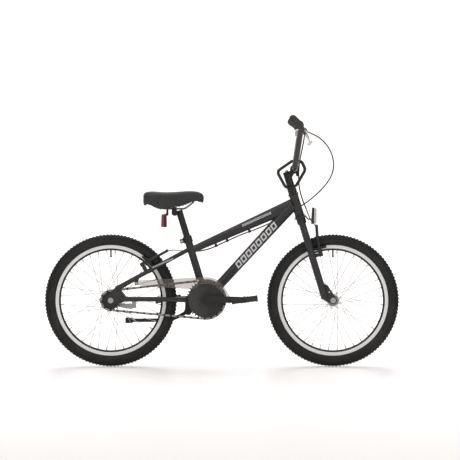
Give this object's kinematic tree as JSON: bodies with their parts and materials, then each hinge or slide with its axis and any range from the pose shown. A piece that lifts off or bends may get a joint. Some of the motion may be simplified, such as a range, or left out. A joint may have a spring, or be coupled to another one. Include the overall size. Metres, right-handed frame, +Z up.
{
  "type": "bmx bike",
  "caption": "Child's BMX style bicycle with knobbly tyres, rim brakes, coaster hub, chain guard, stem guard loop, reflectors and a kickstand.",
  "frame": {"origin": "on the ground midway between the wheel axles, in the bicycle's middle plane", "axes": "+X forward, +Y to the rider's left, +Z up"},
  "size_m": [1.3388, 0.5936, 0.9457],
  "materials": {
    "tyre": "moulded black rubber",
    "tube_rubber": "smooth black rubber",
    "rim": "black with a machined silver brake track",
    "spoke_steel": "drawn steel",
    "hub_metal": "zinc plated",
    "zinc_steel": "zinc plated",
    "chain_steel": "oiled steel",
    "black_steel": "satin black",
    "sprocket_steel": "ground steel",
    "black_plastic": "fine grained",
    "pedal_plastic": "moulded",
    "clear_plastic": "smoky clear",
    "frame_paint": "matt black powder coat",
    "bearing_metal": "black plated",
    "black_metal": "satin black",
    "brake_steel": "plain steel",
    "foot_rubber": "moulded",
    "cable_black": "smooth black cable cover",
    "bar_paint": "satin black",
    "grip_rubber": "ribbed rubber",
    "lever_metal": "black with worn edges",
    "bell_metal": "polished",
    "clear_lens": "prismatic clear",
    "red_lens": "prismatic red",
    "brake_metal": "satin black with silver bolts",
    "rail_steel": "dark plated steel",
    "saddle_vinyl": "fine grained vinyl"
  },
  "bodies": {
    "frame": {"main_frame": "frame_paint", "frame_bearings": "bearing_metal", "seat_collar": "black_metal", "kickstand_bracket": "black_metal", "frame_bolts": "zinc_steel", "chain_guard": "clear_plastic", "rear_axle": "zinc_steel", "coaster_arm": "brake_steel", "cable_guides": "black_plastic", "rear_brake_cable": "cable_black", "chain": "chain_steel"},
    "fork": {"fork": "frame_paint", "headset_locknuts": "bearing_metal", "stem": "black_metal", "steering_bolts": "zinc_steel", "guard_loop": "black_metal", "front_axle": "zinc_steel", "front_reflector_housing": "black_plastic", "front_reflector_lens": "clear_lens", "handlebar": "bar_paint", "grips": "grip_rubber", "lever_brackets": "black_plastic", "bell": "bell_metal", "rear_cable_loop": "cable_black", "front_brake_cable": "cable_black"},
    "front_wheel": {"front_tyre": "tyre", "front_inner_tube": "tube_rubber", "front_rim": "rim", "front_spokes": "spoke_steel", "front_hub": "hub_metal"},
    "rear_wheel": {"rear_tyre": "tyre", "rear_inner_tube": "tube_rubber", "rear_rim": "rim", "rear_spokes": "spoke_steel", "rear_hub": "hub_metal"},
    "sprocket": {"rear_sprocket": "sprocket_steel"},
    "crank": {"chainring": "black_steel", "chain_disc": "black_plastic", "crank_arms": "black_steel", "crank_axle": "zinc_steel", "pedal_axles": "zinc_steel"},
    "pedal_l": {"pedal_left": "pedal_plastic"},
    "pedal_r": {"pedal_right": "pedal_plastic"},
    "lever_l": {"brake_lever_left": "lever_metal"},
    "lever_r": {"brake_lever_right": "lever_metal"},
    "rear_arm_l": {"rear_brake_arm_left": "brake_metal"},
    "rear_arm_r": {"rear_brake_arm_right": "brake_metal"},
    "front_arm_l": {"front_brake_arm_left": "brake_metal"},
    "front_arm_r": {"front_brake_arm_right": "brake_metal"},
    "seat_post": {"seat_post": "black_metal", "saddle_clamp": "black_metal"},
    "saddle": {"rail_clamps": "black_metal", "saddle_rails": "rail_steel", "saddle_base": "black_plastic", "saddle_cover": "saddle_vinyl", "rear_reflector_housing": "black_plastic", "rear_reflector_lens": "red_lens"},
    "kickstand": {"kickstand_leg": "black_metal", "kickstand_foot": "foot_rubber"}
  },
  "joints": [
    {"name": "steering", "type": "hinge", "parent": "frame", "child": "fork", "pos_m": [0.2821, 0, 0.61], "axis": [-0.2907, 0, 0.9568], "range_deg": [-60, 60], "deforming": ["rear_cable_loop"]},
    {"name": "front_wheel_spin", "type": "hinge", "parent": "fork", "child": "front_wheel", "pos_m": [0.4195, 0, 0.25], "axis": [0, 1, 0], "continuous": true},
    {"name": "rear_wheel_spin", "type": "hinge", "parent": "frame", "child": "rear_wheel", "pos_m": [-0.4195, 0, 0.25], "axis": [0, 1, 0], "continuous": true},
    {"name": "crank_spin", "type": "hinge", "parent": "frame", "child": "crank", "pos_m": [-0.0594, 0, 0.2533], "axis": [0, 1, 0], "continuous": true, "deforming": ["chain"]},
    {"name": "sprocket_spin", "type": "hinge", "parent": "frame", "child": "sprocket", "pos_m": [-0.4195, 0, 0.25], "axis": [0, 1, 0], "continuous": true},
    {"name": "pedal_left_spin", "type": "hinge", "parent": "crank", "child": "pedal_l", "pos_m": [-0.2044, 0.12, 0.2533], "axis": [0, 1, 0], "continuous": true},
    {"name": "pedal_right_spin", "type": "hinge", "parent": "crank", "child": "pedal_r", "pos_m": [0.0856, -0.12, 0.2533], "axis": [0, 1, 0], "continuous": true},
    {"name": "brake_lever_left", "type": "hinge", "parent": "fork", "child": "lever_l", "pos_m": [0.3125, 0.15, 0.8895], "axis": [0.8384, 0.0811, 0.539], "range_deg": [0, 20], "deforming": ["front_brake_cable"]},
    {"name": "brake_lever_right", "type": "hinge", "parent": "fork", "child": "lever_r", "pos_m": [0.3125, -0.15, 0.8895], "axis": [-0.8384, 0.0811, -0.539], "range_deg": [0, 20], "deforming": ["rear_brake_cable"]},
    {"name": "rear_arm_left", "type": "hinge", "parent": "frame", "child": "rear_arm_l", "pos_m": [-0.30038, 0.04, 0.38656], "axis": [0.4748, 0, -0.8801], "range_deg": [0, 2.8]},
    {"name": "rear_arm_right", "type": "hinge", "parent": "frame", "child": "rear_arm_r", "pos_m": [-0.30038, -0.04, 0.38656], "axis": [-0.4748, 0, 0.8801], "range_deg": [0, 2.8]},
    {"name": "front_arm_left", "type": "hinge", "parent": "fork", "child": "front_arm_l", "pos_m": [0.37397, 0.04, 0.42491], "axis": [0.9568, 0, 0.2907], "range_deg": [0, 2.8]},
    {"name": "front_arm_right", "type": "hinge", "parent": "fork", "child": "front_arm_r", "pos_m": [0.37397, -0.04, 0.42491], "axis": [-0.9568, 0, -0.2907], "range_deg": [0, 2.8]},
    {"name": "seat_height", "type": "slide", "parent": "frame", "child": "seat_post", "axis": [-0.2924, 0, 0.9563], "range_m": [-0.06, 0.08]},
    {"name": "saddle_tilt", "type": "hinge", "parent": "seat_post", "child": "saddle", "pos_m": [-0.1785, 0, 0.581], "axis": [0, 1, 0], "range_deg": [-10, 10]},
    {"name": "kickstand", "type": "hinge", "parent": "frame", "child": "kickstand", "pos_m": [-0.132, 0.046, 0.206], "axis": [0.2937, -0.9278, -0.23], "range_deg": [0, 83]}
  ],
  "couplings": [
    {"joint": "sprocket_spin", "follows": "crank_spin", "ratio": 2},
    {"joint": "rear_arm_left", "follows": "brake_lever_right", "ratio": 0.14},
    {"joint": "front_arm_left", "follows": "brake_lever_left", "ratio": 0.14},
    {"joint": "rear_arm_right", "follows": "brake_lever_right", "ratio": 0.14},
    {"joint": "front_arm_right", "follows": "brake_lever_left", "ratio": 0.14}
  ]
}
